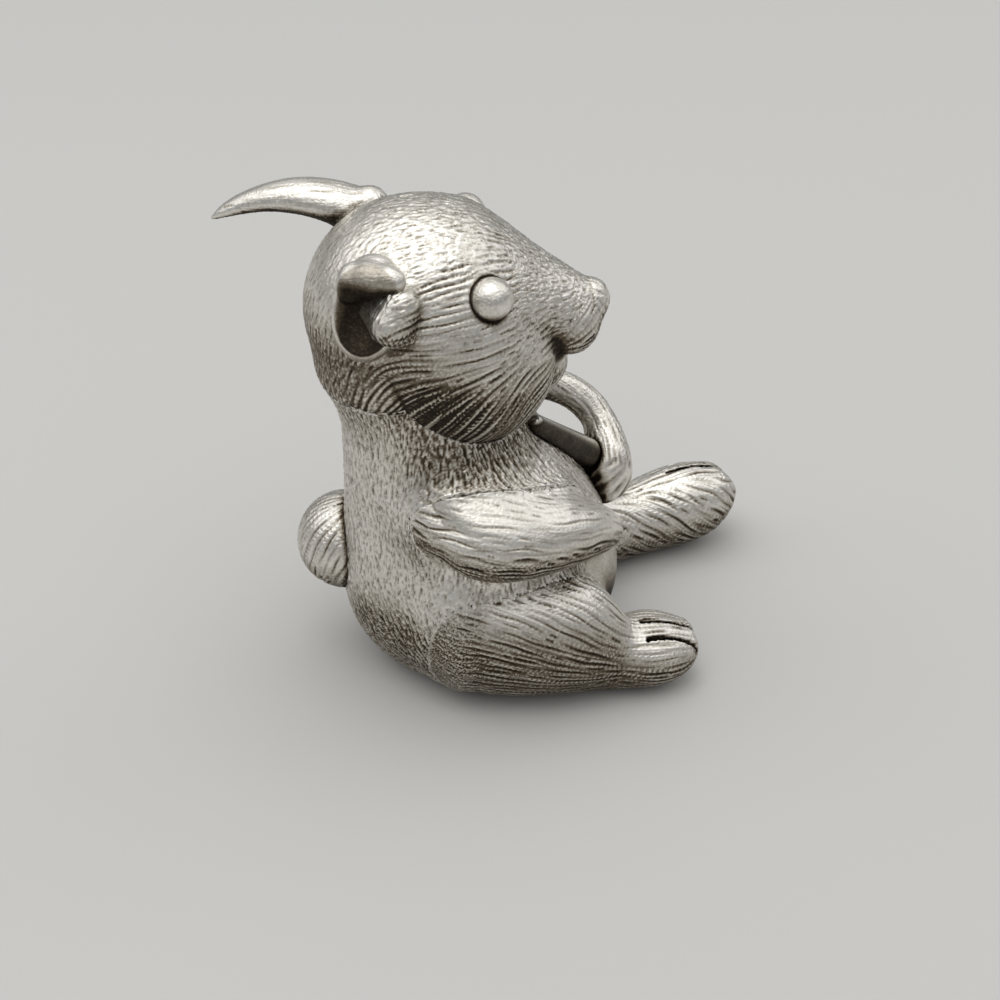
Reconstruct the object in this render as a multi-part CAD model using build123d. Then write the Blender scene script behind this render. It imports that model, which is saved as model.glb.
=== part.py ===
from build123d import *
import os
from math import cos, pi, radians, sin

# A seated animal figurine in pewter, soldered up from separate castings.
# Millimetres. X points the way it faces, Y to its left and Z up.
# The origin is the middle of the flat seat, on the surface that it sits on.

# Torso: a pear on a flat seat, measured at five heights
SEAT_HALF_LENGTH = 5.4
SEAT_HALF_WIDTH = 4.1
RUMP_HEIGHT = 5.0
RUMP_SHIFT = 0.1
RUMP_HALF_LENGTH = 8.3
RUMP_HALF_WIDTH = 6.4
BELLY_HEIGHT = 9.0
BELLY_SHIFT = -0.2
BELLY_HALF_LENGTH = 8.0
BELLY_HALF_WIDTH = 6.4
CHEST_HEIGHT = 12.5
CHEST_SHIFT = -1.0
CHEST_HALF_LENGTH = 7.0
CHEST_HALF_WIDTH = 6.2
NECK_HEIGHT = 16.0
NECK_SHIFT = -2.2
NECK_HALF_LENGTH = 5.8
NECK_HALF_WIDTH = 5.9
NAPE_SHARE = 0.9

# Head: a skull with two cheeks, a tapering snout, a nose, two lips and a chin.
# The skull is placed from the neck and the rest from the middle of the skull.
# The snout's shares are of its reach and of its drop, one pair for each station.
SKULL_LIFT = 8.6
SKULL_SHIFT = -1.5
SKULL_RADIUS = 6.2
CHEEK_RADIUS = 5.1
CHEEK_FORWARD = 2.8
CHEEK_OUT = 1.4
CHEEK_DROP = 2.8
SNOUT_REACH = 10.7
SNOUT_DROP = 0.9
SNOUT_ROOT_RADIUS = 5.8
SNOUT_TIP_RADIUS = 1.2
SNOUT_TAPER = 1.15
SNOUT_SHARES = ((0.28, 0.6), (0.55, 0.75), (0.79, 0.85), (0.95, 0.6))
NOSE_RADIUS = 0.65
NOSE_DROP = 0.3
NOSE_SET_BACK = 0.5
NOSE_LIFT = 0.2
LIP_RADIUS = 1.9
LIP_FORWARD = 8.75
LIP_OUT = 0.95
LIP_DROP = 1.5
CHIN_RADIUS = 1.9
CHIN_FORWARD = 7.0
CHIN_DROP = 4.3

# Eyes: a bead on a stem, in a socket that leaves a groove round the bead
EYE_BEARING = 53.0
EYE_ELEVATION_ANGLE = 24.5
EYE_STAND_OUT = 0.6
EYE_RADIUS = 1.2
EYE_GROOVE = 0.12
EYE_STEM_RADIUS = 0.45
EYE_STEM_LENGTH = 2.0

# Right ear: a short cup, hollow in front
CUP_BEARING = -123.0
CUP_ELEVATION_ANGLE = 27.5
CUP_HALF_WIDTH = 2.4
CUP_HALF_HEIGHT = 3.1
CUP_HALF_DEPTH = 1.8
CUP_WALL = 0.75

# Left ear: long, arched and swept back, hollow underneath
LONG_EAR_BEARING = 120.0
LONG_EAR_ELEVATION_ANGLE = 38.0
LONG_EAR_REACH = 8.4
LONG_EAR_SPREAD = 1.8
LONG_EAR_ARCH = 1.25
LONG_EAR_DROP = 0.7
LONG_EAR_ROOT_HALF_WIDTH = 1.7
LONG_EAR_ROOT_HALF_HEIGHT = 1.3
LONG_EAR_WALL = 0.5
LONG_EAR_TAPER = 0.55
LONG_EAR_SHARES = (0.05, 0.25, 0.5, 0.75, 0.92)
LONG_EAR_SINK = 1.9
HOLLOW_WIDTH_SHARE = 0.7
HOLLOW_START_SHARE = 0.1
HOLLOW_END_SHARE = 0.98

# Arm stations: bearing, then in arm radii the rise from the chest, the way out from the torso's skin
# and the thickness. The right arm lies along the belly, the left one is held out from the chest.
RIGHT_ARM_RADIUS = 2.2
RIGHT_ARM_START = (-116.0, 0.32, -0.45)
RIGHT_ARM_STATIONS = (
    (-95.0, 0.18, 0.14, 0.95),
    (-79.0, -0.05, 0.36, 1.05),
    (-65.0, -0.18, 0.45, 0.95),
    (-48.0, -0.41, 0.45, 0.84),
    (-34.0, -0.82, 0.41, 0.68),
    (-26.0, -1.23, 0.36, 0.43),
)
RIGHT_ARM_END = (-22.0, -1.52, 0.36)
LEFT_ARM_RADIUS = 1.5
LEFT_ARM_START = (64.0, 1.92, -1.2)
LEFT_ARM_STATIONS = (
    (56.0, 1.75, 0.35, 0.8),
    (42.0, 1.85, 1.45, 0.7),
    (34.0, 1.45, 2.2, 0.67),
    (29.0, 0.66, 2.4, 0.68),
    (23.5, -0.04, 2.0, 0.77),
    (14.0, -1.42, 0.95, 1.0),
)
LEFT_ARM_END = (7.0, -2.25, 0.5)

# Leg stations in thigh radii: forward, out from the side of the rump, height, half width, half height
THIGH_RADIUS = 3.0
LEG_START = (-1.0, -1.6, 1.1)
RIGHT_LEG_STATIONS = (
    (-0.6, -0.95, 1.4, 0.8, 1.1),
    (-0.13, -0.43, 1.52, 0.92, 1.32),
    (0.93, -0.33, 1.47, 0.97, 1.39),
    (1.87, -0.33, 1.16, 0.87, 1.16),
    (2.47, -0.37, 0.8, 0.73, 0.82),
    (3.07, -0.43, 0.73, 0.83, 0.75),
    (3.63, -0.5, 0.72, 0.8, 0.62),
    (3.97, -0.55, 0.75, 0.6, 0.43),
)
RIGHT_LEG_END = (4.17, -0.57, 0.75)
LEFT_LEG_STATIONS = (
    (-0.6, -0.95, 1.1, 0.75, 0.85),
    (0.0, -0.43, 1.13, 1.0, 1.1),
    (1.33, -0.27, 1.1, 1.03, 1.1),
    (2.67, 0.13, 0.93, 0.83, 0.9),
    (3.5, 0.43, 0.8, 0.73, 0.8),
    (4.33, 0.67, 0.87, 0.8, 0.87),
    (5.13, 0.8, 1.0, 0.8, 0.87),
    (5.67, 0.9, 1.2, 0.63, 0.63),
)
LEFT_LEG_END = (5.97, 0.97, 1.33)
TOE_SLIT_WIDTH = 0.25
TOE_SLIT_LENGTH = 6.0
TOE_SLIT_SPACING = 1.2
TOE_SLIT_SHIFT = 0.8

# Tail: a round puff low on the back, to the left of the middle
TAIL_RADIUS = 3.0
TAIL_BEARING = 164.0
TAIL_HEIGHT = 7.5

# Stick: a tapered rod from the left paw, where it is placed like the arm, up to just above the neck
STICK_BUTT = (15.0, -0.2, 0.57)
STICK_BUTT_RADIUS = 1.0
STICK_TIP_BEARING = -14.0
STICK_TIP_RISE = 0.75
STICK_TIP_OUT = 0.2
STICK_TIP_RADIUS = 0.6

# Cast-on pegs that set each casting before it is soldered
PEG_RADIUS = 0.8
PEG_DEPTH = 2.4
NECK_PEG_RADIUS = 2.4
NECK_PEG_LENGTH = 6.0
SOLDER_GAP = 0.05

RING_POINTS = 12
ROOT_SHARE = 0.5
UP = Vector(0, 0, 1)
SKULL_CENTRE = Vector(NECK_SHIFT + SKULL_SHIFT, 0, NECK_HEIGHT + SKULL_LIFT)
TORSO_SECTIONS = (
    (0.0, 0.0, SEAT_HALF_LENGTH, SEAT_HALF_WIDTH),
    (RUMP_HEIGHT, RUMP_SHIFT, RUMP_HALF_LENGTH, RUMP_HALF_WIDTH),
    (BELLY_HEIGHT, BELLY_SHIFT, BELLY_HALF_LENGTH, BELLY_HALF_WIDTH),
    (CHEST_HEIGHT, CHEST_SHIFT, CHEST_HALF_LENGTH, CHEST_HALF_WIDTH),
    (NECK_HEIGHT, NECK_SHIFT, NECK_HALF_LENGTH, NECK_HALF_WIDTH),
)


def ring(centre, along, half_wide, half_tall):
    """An oval face round centre, square to along, with half_tall measured upwards."""
    side = UP.cross(along) if abs(along.normalized().Z) < 0.95 else Vector(1, 0, 0)
    plane = Plane(origin=centre, x_dir=side, z_dir=along)
    turns = [2 * pi * k / RING_POINTS for k in range(RING_POINTS)]
    outline = Spline([(half_wide * cos(t), half_tall * sin(t)) for t in turns], periodic=True)
    return plane * make_face(outline)


def limb(start, stations, end):
    """A solid through oval stations (centre, half width, half height), with a small flat root at start."""
    centres = [start, *(centre for centre, _, _ in stations), end]
    first, half_wide, half_tall = stations[0]
    rings = [ring(start, first - start, half_wide * ROOT_SHARE, half_tall * ROOT_SHARE)]
    for before, (centre, half_wide, half_tall), after in zip(centres, stations, centres[2:]):
        rings.append(ring(centre, after - before, half_wide, half_tall))
    return loft([*rings, Vertex(*end)])


def ball(centre, radius):
    return Pos(*centre) * Sphere(radius)


def rod(start, end, radius):
    along = end - start
    upright = Cylinder(radius, along.length, align=(Align.CENTER, Align.CENTER, Align.MIN))
    return Plane(origin=start, z_dir=along) * upright


def peg(inner, outer, radius=PEG_RADIUS):
    """A peg between two points, and the hole that takes it."""
    return rod(outer, inner, radius), rod(outer, inner, radius + SOLDER_GAP)


def direction(bearing, elevation):
    """A unit vector: degrees from forward towards the left, then degrees above level."""
    turn = radians(bearing)
    level = cos(radians(elevation))
    return Vector(level * cos(turn), level * sin(turn), sin(radians(elevation)))


def on_torso(bearing, height, out):
    """A point at that bearing and height, out from the torso's skin."""
    for low, high in zip(TORSO_SECTIONS, TORSO_SECTIONS[1:]):
        if height <= high[0]:
            break
    share = (height - low[0]) / (high[0] - low[0])
    shift, half_length, half_width = (a + (b - a) * share for a, b in zip(low[1:], high[1:]))
    turn = radians(bearing)
    return Vector(shift + (half_length + out) * cos(turn), (half_width + out) * sin(turn), height)


def torso_blank():
    """The pear, carried up into the head and down below its seat, with no holes yet."""
    rings = [ring(Vector(0, 0, -RUMP_HEIGHT / 2), UP, SEAT_HALF_LENGTH / 2, SEAT_HALF_WIDTH / 2)]
    for height, shift, half_length, half_width in TORSO_SECTIONS:
        rings.append(ring(Vector(shift, 0, height), UP, half_length, half_width))
    nape = SKULL_CENTRE - UP * SKULL_RADIUS / 2
    rings.append(ring(nape, UP, NECK_HALF_LENGTH * NAPE_SHARE, NECK_HALF_WIDTH * NAPE_SHARE))
    return loft(rings)


def head_blank():
    """Skull, cheeks, snout, nose, lips and chin as one casting, with no sockets yet."""
    shape = ball(SKULL_CENTRE, SKULL_RADIUS)
    nose_tip = SKULL_CENTRE + Vector(SNOUT_REACH, 0, -NOSE_DROP)
    stations = []
    first, last = SNOUT_SHARES[0][0], SNOUT_SHARES[-1][0]
    for share, drop in SNOUT_SHARES:
        taper = ((share - first) / (last - first)) ** SNOUT_TAPER
        radius = SNOUT_ROOT_RADIUS + (SNOUT_TIP_RADIUS - SNOUT_ROOT_RADIUS) * taper
        centre = SKULL_CENTRE + Vector(SNOUT_REACH * share, 0, -SNOUT_DROP * drop)
        stations.append((centre, radius, radius))
    shape += limb(SKULL_CENTRE, stations, nose_tip)
    shape += ball(nose_tip + Vector(-NOSE_SET_BACK, 0, NOSE_LIFT), NOSE_RADIUS)
    for side in (1, -1):
        cheek = Vector(CHEEK_FORWARD, side * CHEEK_OUT, -CHEEK_DROP)
        shape += ball(SKULL_CENTRE + cheek, CHEEK_RADIUS)
        lip = Vector(LIP_FORWARD, side * LIP_OUT, -LIP_DROP)
        shape += ball(SKULL_CENTRE + lip, LIP_RADIUS)
    shape += ball(SKULL_CENTRE + Vector(CHIN_FORWARD, 0, -CHIN_DROP), CHIN_RADIUS)
    return shape


def eye_bead(side):
    """The bead with its stem, and the socket that takes them."""
    outward = direction(side * EYE_BEARING, EYE_ELEVATION_ANGLE)
    centre = SKULL_CENTRE + outward * (SKULL_RADIUS + EYE_STAND_OUT)
    stem_end = centre - outward * EYE_STEM_LENGTH
    stem, stem_hole = peg(stem_end, centre, EYE_STEM_RADIUS)
    return ball(centre, EYE_RADIUS) + stem, ball(centre, EYE_RADIUS + EYE_GROOVE) + stem_hole


def cup_ear():
    """The right ear's cup, its peg and the peg's hole."""
    outward = direction(CUP_BEARING, CUP_ELEVATION_ANGLE)
    root = SKULL_CENTRE + outward * SKULL_RADIUS
    frame = Plane(origin=root, z_dir=outward, x_dir=UP.cross(outward))
    cup = scale(Sphere(1), by=(CUP_HALF_WIDTH, CUP_HALF_HEIGHT, CUP_HALF_DEPTH))
    inside = tuple(half - CUP_WALL for half in (CUP_HALF_WIDTH, CUP_HALF_HEIGHT, CUP_HALF_DEPTH))
    hollow = Pos(CUP_WALL, -CUP_WALL, CUP_HALF_DEPTH) * scale(Sphere(1), by=inside)
    return frame * (cup - hollow), peg(root - outward * PEG_DEPTH, root + outward * CUP_WALL / 2)


def long_ear():
    """The left ear, its peg and the peg's hole."""
    outward = direction(LONG_EAR_BEARING, LONG_EAR_ELEVATION_ANGLE)
    root = SKULL_CENTRE + outward * SKULL_RADIUS

    def along(share):
        """A point of the ear's centre line, from its root at 0 to its tip at 1."""
        rise = 4 * LONG_EAR_ARCH * share * (1 - share) - LONG_EAR_DROP * share
        return root + Vector(-LONG_EAR_REACH * share, LONG_EAR_SPREAD * share, rise)

    stations, hollow = [], []
    for share in LONG_EAR_SHARES:
        taper = (1 - share) ** LONG_EAR_TAPER
        half_wide = LONG_EAR_ROOT_HALF_WIDTH * taper
        half_tall = LONG_EAR_ROOT_HALF_HEIGHT * taper
        stations.append((along(share), half_wide, half_tall))
        if share > HOLLOW_START_SHARE:
            underneath = along(share) - UP * half_tall
            hollow.append((underneath, half_wide * HOLLOW_WIDTH_SHARE, half_tall - LONG_EAR_WALL * taper))
    shape = limb(root - outward * LONG_EAR_SINK, stations, along(1.0))
    hollow_start = along(HOLLOW_START_SHARE) - UP * LONG_EAR_ROOT_HALF_HEIGHT
    shape -= limb(hollow_start, hollow, along(HOLLOW_END_SHARE) - UP * LONG_EAR_WALL)
    return shape, peg(root - outward * PEG_DEPTH, root)


def on_arm(radius, bearing, rise, out):
    """A point by the torso, in arm radii from the chest's height and from the torso's skin."""
    return on_torso(bearing, CHEST_HEIGHT + rise * radius, out * radius)


def arm(radius, start, stations, end):
    """An arm through its stations."""
    centres = []
    for bearing, rise, out, thickness in stations:
        centres.append((on_arm(radius, bearing, rise, out), thickness * radius, thickness * radius))
    return limb(on_arm(radius, *start), centres, on_arm(radius, *end))


def right_arm():
    """The right arm along the belly, its peg and the peg's hole."""
    shape = arm(RIGHT_ARM_RADIUS, RIGHT_ARM_START, RIGHT_ARM_STATIONS, RIGHT_ARM_END)
    bearing, rise, out, _ = RIGHT_ARM_STATIONS[1]
    height = CHEST_HEIGHT + rise * RIGHT_ARM_RADIUS
    outer = on_torso(bearing, height, out * RIGHT_ARM_RADIUS)
    return shape, peg(on_torso(bearing, height, -PEG_DEPTH), outer)


def left_arm():
    """The left arm held out from the chest, its peg and the peg's hole."""
    shape = arm(LEFT_ARM_RADIUS, LEFT_ARM_START, LEFT_ARM_STATIONS, LEFT_ARM_END)
    bearing, rise, _, _ = LEFT_ARM_STATIONS[0]
    height = CHEST_HEIGHT + rise * LEFT_ARM_RADIUS
    outer = on_torso(bearing, height, LEFT_ARM_RADIUS / 2)
    return shape, peg(on_torso(bearing, height, -PEG_DEPTH), outer)


def leg(side, stations, end):
    """A leg with slits between its toes, not yet flat underneath, its peg and the peg's hole."""
    def place(forward, out, height):
        out_from_middle = side * (RUMP_HALF_WIDTH + out * THIGH_RADIUS)
        return Vector(forward * THIGH_RADIUS, out_from_middle, height * THIGH_RADIUS)

    centres = []
    for *spot, half_wide, half_tall in stations:
        centres.append((place(*spot), half_wide * THIGH_RADIUS, half_tall * THIGH_RADIUS))
    shape = limb(place(*LEG_START), centres, place(*end))
    toes, heel = centres[-1][0], centres[-3][0]
    way = (toes - heel).normalized()
    across = UP.cross(way).normalized()
    for half in (-0.5, 0.5):
        offset = side * TOE_SLIT_SHIFT + half * TOE_SLIT_SPACING
        slit = Pos(0, 0, RUMP_HEIGHT) * Box(TOE_SLIT_LENGTH, TOE_SLIT_WIDTH, 2 * RUMP_HEIGHT)
        shape -= Plane(origin=toes + across * offset, x_dir=way, z_dir=way.cross(across)) * slit
    thigh = centres[2][0]
    outward = Vector(0, side * PEG_DEPTH, 0)
    return shape, peg(thigh - outward, thigh + outward)


def tail():
    """The puff of the tail, its peg and the peg's hole."""
    centre = on_torso(TAIL_BEARING, TAIL_HEIGHT, 0.0)
    inner = on_torso(TAIL_BEARING, TAIL_HEIGHT, -PEG_DEPTH)
    puff = Plane(origin=centre, z_dir=centre - inner) * Sphere(TAIL_RADIUS)
    return puff, peg(inner, on_torso(TAIL_BEARING, TAIL_HEIGHT, TAIL_RADIUS / 2))


def stick(gap=0.0):
    """The tapered rod, or with a gap the hole that takes it."""
    butt = on_arm(LEFT_ARM_RADIUS, *STICK_BUTT)
    tip = on_torso(STICK_TIP_BEARING, NECK_HEIGHT + STICK_TIP_RISE, STICK_TIP_OUT)
    upright = Cone(
        STICK_BUTT_RADIUS + gap,
        STICK_TIP_RADIUS + gap,
        (tip - butt).length,
        align=(Align.CENTER, Align.CENTER, Align.MIN),
    )
    shaft = Plane(origin=butt, z_dir=tip - butt) * upright
    return shaft + ball(butt, STICK_BUTT_RADIUS + gap) + ball(tip, STICK_TIP_RADIUS + gap)


def above_surface(shape):
    """The shape cut flat where it meets the surface it sits on."""
    return split(shape, bisect_by=Plane.XY, keep=Keep.TOP)


def main_solid(shape):
    """The largest solid, without any sliver left where two skins graze."""
    return max(shape.solids(), key=lambda solid: solid.volume)


def build():
    """Every casting, cut clear of what it is soldered to."""
    head = head_blank()
    torso = torso_blank() - head
    parts = {}
    for name, make in (("left_ear", long_ear), ("right_ear", cup_ear)):
        shape, (pin, hole) = make()
        parts[name] = shape - head + pin
        head -= hole
    for name, side in (("left_eye", 1), ("right_eye", -1)):
        parts[name], socket = eye_bead(side)
        head -= socket
    limbs = {
        "right_arm": right_arm(),
        "left_arm": left_arm(),
        "right_leg": leg(-1, RIGHT_LEG_STATIONS, RIGHT_LEG_END),
        "left_leg": leg(1, LEFT_LEG_STATIONS, LEFT_LEG_END),
        "tail": tail(),
    }
    for name, (shape, (pin, _)) in limbs.items():
        parts[name] = main_solid(above_surface(shape - torso - head) + pin)
    parts["held_stick"] = stick()
    parts["left_arm"] -= stick(SOLDER_GAP)
    for _, (_, hole) in limbs.values():
        torso -= hole
    torso -= stick(SOLDER_GAP)
    head -= stick(SOLDER_GAP)
    neck = Vector(NECK_SHIFT, 0, NECK_HEIGHT)
    pin, hole = peg(neck + UP * NECK_PEG_LENGTH, neck, NECK_PEG_RADIUS)
    parts["torso"] = above_surface(torso) + pin
    parts["head"] = head - hole
    return parts


os.makedirs("parts", exist_ok=True)
for node, shape in build().items():
    export_step(shape, f"parts/{node}.step")
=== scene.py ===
import random
from math import cos, pi, radians, sin, tau

import bmesh
import bpy
import numpy as np
from mathutils import Matrix, Vector, kdtree
from mathutils.bvhtree import BVHTree


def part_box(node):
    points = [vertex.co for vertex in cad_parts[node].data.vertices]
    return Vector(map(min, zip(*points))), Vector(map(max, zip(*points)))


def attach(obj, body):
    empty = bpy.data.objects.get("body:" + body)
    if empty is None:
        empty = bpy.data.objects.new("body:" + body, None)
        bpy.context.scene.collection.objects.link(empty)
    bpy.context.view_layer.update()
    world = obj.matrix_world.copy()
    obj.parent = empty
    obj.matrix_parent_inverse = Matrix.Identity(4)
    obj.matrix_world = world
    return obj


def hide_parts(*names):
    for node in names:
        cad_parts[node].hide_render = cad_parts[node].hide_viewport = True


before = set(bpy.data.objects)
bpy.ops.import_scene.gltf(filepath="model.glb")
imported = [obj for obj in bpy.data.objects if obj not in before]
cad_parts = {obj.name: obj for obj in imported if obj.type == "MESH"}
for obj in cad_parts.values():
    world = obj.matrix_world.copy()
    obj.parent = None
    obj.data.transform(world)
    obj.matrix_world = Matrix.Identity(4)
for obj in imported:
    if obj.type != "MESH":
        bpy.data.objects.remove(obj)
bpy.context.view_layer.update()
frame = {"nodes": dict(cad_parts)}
scene = bpy.context.scene
scene.view_settings.view_transform = "Standard"

# Camera, held above the table on the figure's right side.
# It looks down on the figure and a little from behind its shoulder.
MM = 0.001
CAMERA_TURN = radians(-9.0)
CAMERA_TILT = radians(35.0)
CAMERA_DISTANCE = 150.0
AIM_RIGHT = 1.25
AIM_UP = 8.75
LENS_LENGTH = 86.4
SENSOR_WIDTH = 36.0
NEAREST_SEEN = 10.0
right = Vector((cos(CAMERA_TURN), sin(CAMERA_TURN), 0))
away = Vector((-sin(CAMERA_TURN), cos(CAMERA_TURN), 0))
up = away * sin(CAMERA_TILT) + Vector((0, 0, cos(CAMERA_TILT)))
back = right.cross(up)
lens = bpy.data.cameras.new("camera")
lens.lens = LENS_LENGTH
lens.sensor_width = SENSOR_WIDTH
lens.clip_start = NEAREST_SEEN * MM
camera = bpy.data.objects.new("camera", lens)
scene.collection.objects.link(camera)
camera.matrix_world = Matrix((right, up, back)).transposed().to_4x4()
camera.matrix_world.translation = (right * AIM_RIGHT + up * AIM_UP + back * CAMERA_DISTANCE) * MM
scene.camera = camera

# Torso: a solid pewter casting shaped like a pear, flat under the seat.
# Its fur is cut by hand, fine and short on the back and sides, longer and deeper on the chest.
# The head, limbs and tail are soldered onto it.
# Ramp colours from polished pewter to black; the darker ones stand for real tarnish and for painted shade
# alike.
BRIGHT = (0.86, 0.835, 0.785, 1)
WORN_AND_SHADED = (0.52, 0.485, 0.425, 1)
BROWN = (0.155, 0.122, 0.085, 1)
BLACK = (0.03, 0.024, 0.018, 1)


def pewter_finish(name, lightest, rough):
    """Pewter that is bright where the attribute of tarnish and painted shade is low and brown-black where
    it is high.
    """
    material = bpy.data.materials.new(name)
    material.use_nodes = True
    nodes, links = material.node_tree.nodes, material.node_tree.links
    shader = nodes["Principled BSDF"]
    shader.inputs["Metallic"].default_value = 1.0
    place = nodes.new("ShaderNodeTexCoord")
    scaled = nodes.new("ShaderNodeMapping")
    scaled.inputs["Scale"].default_value = (1 / MM, 1 / MM, 1 / MM)
    links.new(place.outputs["Object"], scaled.inputs["Vector"])

    def mottle(scale, detail):
        texture = nodes.new("ShaderNodeTexNoise")
        texture.inputs["Scale"].default_value = scale
        texture.inputs["Detail"].default_value = detail
        links.new(scaled.outputs["Vector"], texture.inputs["Vector"])
        return texture.outputs["Fac"]

    def stretch(value, low, high):
        spread = nodes.new("ShaderNodeMapRange")
        spread.inputs["To Min"].default_value = low
        spread.inputs["To Max"].default_value = high
        links.new(value, spread.inputs["Value"])
        return spread.outputs["Result"]

    def add(first, second):
        total = nodes.new("ShaderNodeMath")
        total.use_clamp = True
        links.new(first, total.inputs[0])
        links.new(second, total.inputs[1])
        return total.outputs["Value"]

    tarnish_and_shade_attribute = nodes.new("ShaderNodeAttribute")
    tarnish_and_shade_attribute.attribute_name = "tarnish_and_shade"
    blotches = stretch(mottle(scale=0.9, detail=4), low=-0.12, high=0.12)
    patches = stretch(mottle(scale=6.0, detail=4), low=-0.2, high=0.2)
    patchy = add(add(tarnish_and_shade_attribute.outputs["Fac"], blotches), patches)
    ramp = nodes.new("ShaderNodeValToRGB")
    stops = ramp.color_ramp.elements
    stops[0].color = lightest
    stops[1].color = BLACK
    stops.new(0.3).color = [a * b / c for a, b, c in zip(WORN_AND_SHADED, lightest, BRIGHT)]
    stops.new(0.65).color = BROWN
    links.new(patchy, ramp.inputs["Fac"])
    links.new(ramp.outputs["Color"], shader.inputs["Base Color"])
    dulled = stretch(patchy, low=rough, high=rough + 0.22)
    uneven = stretch(mottle(scale=4.0, detail=2), low=-0.06, high=0.06)
    links.new(add(dulled, uneven), shader.inputs["Roughness"])
    grain = nodes.new("ShaderNodeBump")
    grain.inputs["Strength"].default_value = 0.7
    grain.inputs["Distance"].default_value = 0.025 * MM
    links.new(mottle(scale=7.0, detail=5), grain.inputs["Height"])
    links.new(grain.outputs["Normal"], shader.inputs["Normal"])
    return material


pewter = pewter_finish("pewter", BRIGHT, rough=0.36)
SEAT_GAP = 0.08


def skins_of(names, seat=None):
    """A search tree over the skins of some solids, in millimetres, and the solid that owns each face.

    The faces that lie against the seat, another such tree, are left out.
    """
    corners, faces, owners = [], [], []
    for name in names:
        mesh = frame["nodes"][name].data
        first = len(corners)
        corners += [vertex.co / MM for vertex in mesh.vertices]
        for face in mesh.polygons:
            if seat is None or seat.find_nearest(face.center / MM, SEAT_GAP)[0] is None:
                faces.append([first + index for index in face.vertices])
                owners.append(name)
    return BVHTree.FromPolygons(corners, faces), owners


def open_skin(name):
    """A search tree over a solid's skin without the faces that are soldered to what carries it."""
    if name == "head":
        return skins_of([name])[0]
    carriers = ["head"] if name == "torso" else ["head", "torso"]
    return skins_of([name], skins_of(carriers)[0])[0]


figure_skin, face_owner = skins_of(frame["nodes"])
HAIR_STEP = 0.08
HAIR_WAVE = 2.4
SHADE_SPOTS = 5000
SHADE_RAYS = 20
SHADE_REACH = 3.5
SEAM_REACH = 0.35
CAP_DEPTH = 0.12
CAP_ROUNDS = 8
FLOW_ROUNDS = 2
FLOW_DIP = 0.12
FLOW_DEPTH = 1.0
# Tone weights: a plain base, painted shade on undersides and in shut-in places, and patina in hollows.
OPEN_TARNISH = 0.06
UNDERSIDE_SHADE = 0.62
SHUT_IN_SHADE = 0.9
HOLLOW_TARNISH = 0.35


def unit(vectors):
    return vectors / np.maximum(np.linalg.norm(vectors, axis=-1, keepdims=True), 1e-9)


def smooth_step(values, start, end):
    """Goes smoothly from 0 where the values are at start to 1 where they are at end."""
    share = np.clip((values - start) / (end - start), 0, 1)
    return share * share * (3 - 2 * share)


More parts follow.
